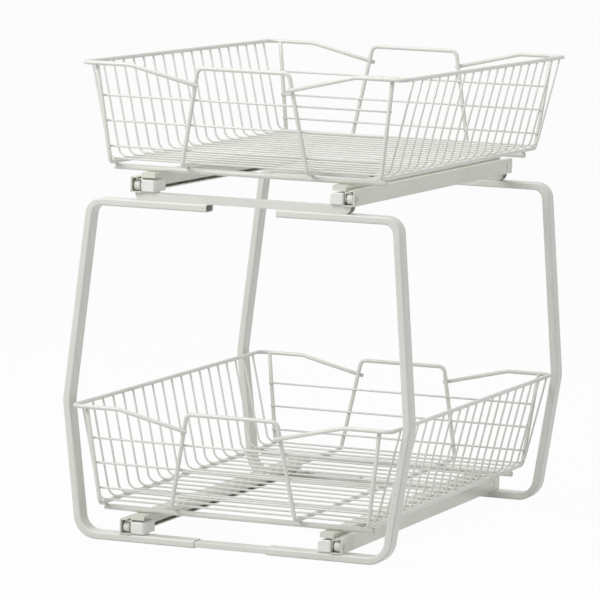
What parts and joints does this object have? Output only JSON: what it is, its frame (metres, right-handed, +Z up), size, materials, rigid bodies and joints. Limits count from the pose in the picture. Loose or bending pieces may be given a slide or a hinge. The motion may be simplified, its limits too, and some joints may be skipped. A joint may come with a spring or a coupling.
{
  "type": "pull out cabinet basket",
  "caption": "Free-standing flat-tube frame with wire baskets in tiers that pull out on roller slides, with a handle loop at the front and rear of each basket.",
  "frame": {"origin": "middle of the footprint, on the cabinet floor", "axes": "+X to the right, +Y to the back of the cabinet, +Z up; the baskets pull out towards -Y"},
  "size_m": [0.3798, 0.5504, 0.4955],
  "materials": {
    "wire_coating": "satin off-white powder coat on welded wire",
    "tube_coating": "satin off-white powder coat on flat tube",
    "rail_coating": "satin off-white powder coat on folded sheet",
    "nylon_roller": "moulded off-white nylon",
    "block_plastic": "moulded off-white plastic",
    "plated_steel": "plain plated steel"
  },
  "bodies": {
    "frame": {"front_left_leg": "tube_coating", "front_right_leg": "tube_coating", "rear_left_leg": "tube_coating", "rear_right_leg": "tube_coating", "stub_inserts": "tube_coating", "front_crossbar": "tube_coating", "rear_crossbar": "tube_coating", "lower_left_fixed_rail": "rail_coating", "lower_right_fixed_rail": "rail_coating", "lower_front_blocks": "block_plastic", "lower_rail_screws": "plated_steel", "lower_front_axles": "plated_steel", "upper_left_fixed_rail": "rail_coating", "upper_right_fixed_rail": "rail_coating", "upper_front_blocks": "block_plastic", "upper_rail_screws": "plated_steel", "upper_front_axles": "plated_steel"},
    "lower_basket": {"lower_left_moving_rail": "rail_coating", "lower_right_moving_rail": "rail_coating", "lower_left_rim": "wire_coating", "lower_right_rim": "wire_coating", "lower_left_posts": "wire_coating", "lower_right_posts": "wire_coating", "lower_handle_loop": "wire_coating", "lower_cross_wires": "wire_coating", "lower_front_wires": "wire_coating", "lower_rear_wires": "wire_coating", "lower_front_rod": "wire_coating", "lower_rear_rod": "wire_coating", "lower_rear_axles": "plated_steel"},
    "lower_left_front_roller": {"lower_left_front_roller": "nylon_roller"},
    "lower_left_rear_roller": {"lower_left_rear_roller": "nylon_roller"},
    "lower_right_front_roller": {"lower_right_front_roller": "nylon_roller"},
    "lower_right_rear_roller": {"lower_right_rear_roller": "nylon_roller"},
    "upper_basket": {"upper_left_moving_rail": "rail_coating", "upper_right_moving_rail": "rail_coating", "upper_left_rim": "wire_coating", "upper_right_rim": "wire_coating", "upper_left_posts": "wire_coating", "upper_right_posts": "wire_coating", "upper_handle_loop": "wire_coating", "upper_cross_wires": "wire_coating", "upper_front_wires": "wire_coating", "upper_rear_wires": "wire_coating", "upper_front_rod": "wire_coating", "upper_rear_rod": "wire_coating", "upper_rear_axles": "plated_steel"},
    "upper_left_front_roller": {"upper_left_front_roller": "nylon_roller"},
    "upper_left_rear_roller": {"upper_left_rear_roller": "nylon_roller"},
    "upper_right_front_roller": {"upper_right_front_roller": "nylon_roller"},
    "upper_right_rear_roller": {"upper_right_rear_roller": "nylon_roller"}
  },
  "joints": [
    {"name": "lower_slide", "type": "slide", "parent": "frame", "child": "lower_basket", "axis": [0, -1, 0], "range_m": [0, 0.35]},
    {"name": "lower_left_front_roller_spin", "type": "hinge", "parent": "frame", "child": "lower_left_front_roller", "pos_m": [-0.11575, -0.254, 0.01515], "axis": [1, 0, 0], "continuous": true},
    {"name": "lower_left_rear_roller_spin", "type": "hinge", "parent": "lower_basket", "child": "lower_left_rear_roller", "pos_m": [-0.11575, 0.24, 0.0149], "axis": [1, 0, 0], "continuous": true},
    {"name": "lower_right_front_roller_spin", "type": "hinge", "parent": "frame", "child": "lower_right_front_roller", "pos_m": [0.11575, -0.254, 0.01515], "axis": [1, 0, 0], "continuous": true},
    {"name": "lower_right_rear_roller_spin", "type": "hinge", "parent": "lower_basket", "child": "lower_right_rear_roller", "pos_m": [0.11575, 0.24, 0.0149], "axis": [1, 0, 0], "continuous": true},
    {"name": "upper_slide", "type": "slide", "parent": "frame", "child": "upper_basket", "axis": [0, -1, 0], "range_m": [0, 0.35]},
    {"name": "upper_left_front_roller_spin", "type": "hinge", "parent": "frame", "child": "upper_left_front_roller", "pos_m": [-0.11575, -0.254, 0.36955], "axis": [1, 0, 0], "continuous": true},
    {"name": "upper_left_rear_roller_spin", "type": "hinge", "parent": "upper_basket", "child": "upper_left_rear_roller", "pos_m": [-0.11575, 0.24, 0.3693], "axis": [1, 0, 0], "continuous": true},
    {"name": "upper_right_front_roller_spin", "type": "hinge", "parent": "frame", "child": "upper_right_front_roller", "pos_m": [0.11575, -0.254, 0.36955], "axis": [1, 0, 0], "continuous": true},
    {"name": "upper_right_rear_roller_spin", "type": "hinge", "parent": "upper_basket", "child": "upper_right_rear_roller", "pos_m": [0.11575, 0.24, 0.3693], "axis": [1, 0, 0], "continuous": true}
  ],
  "couplings": [
    {"joint": "lower_left_front_roller_spin", "follows": "lower_slide", "rad_per_m": 185.19},
    {"joint": "lower_left_rear_roller_spin", "follows": "lower_slide", "rad_per_m": 185.19},
    {"joint": "lower_right_front_roller_spin", "follows": "lower_slide", "rad_per_m": 185.19},
    {"joint": "lower_right_rear_roller_spin", "follows": "lower_slide", "rad_per_m": 185.19},
    {"joint": "upper_left_front_roller_spin", "follows": "upper_slide", "rad_per_m": 185.19},
    {"joint": "upper_left_rear_roller_spin", "follows": "upper_slide", "rad_per_m": 185.19},
    {"joint": "upper_right_front_roller_spin", "follows": "upper_slide", "rad_per_m": 185.19},
    {"joint": "upper_right_rear_roller_spin", "follows": "upper_slide", "rad_per_m": 185.19}
  ]
}
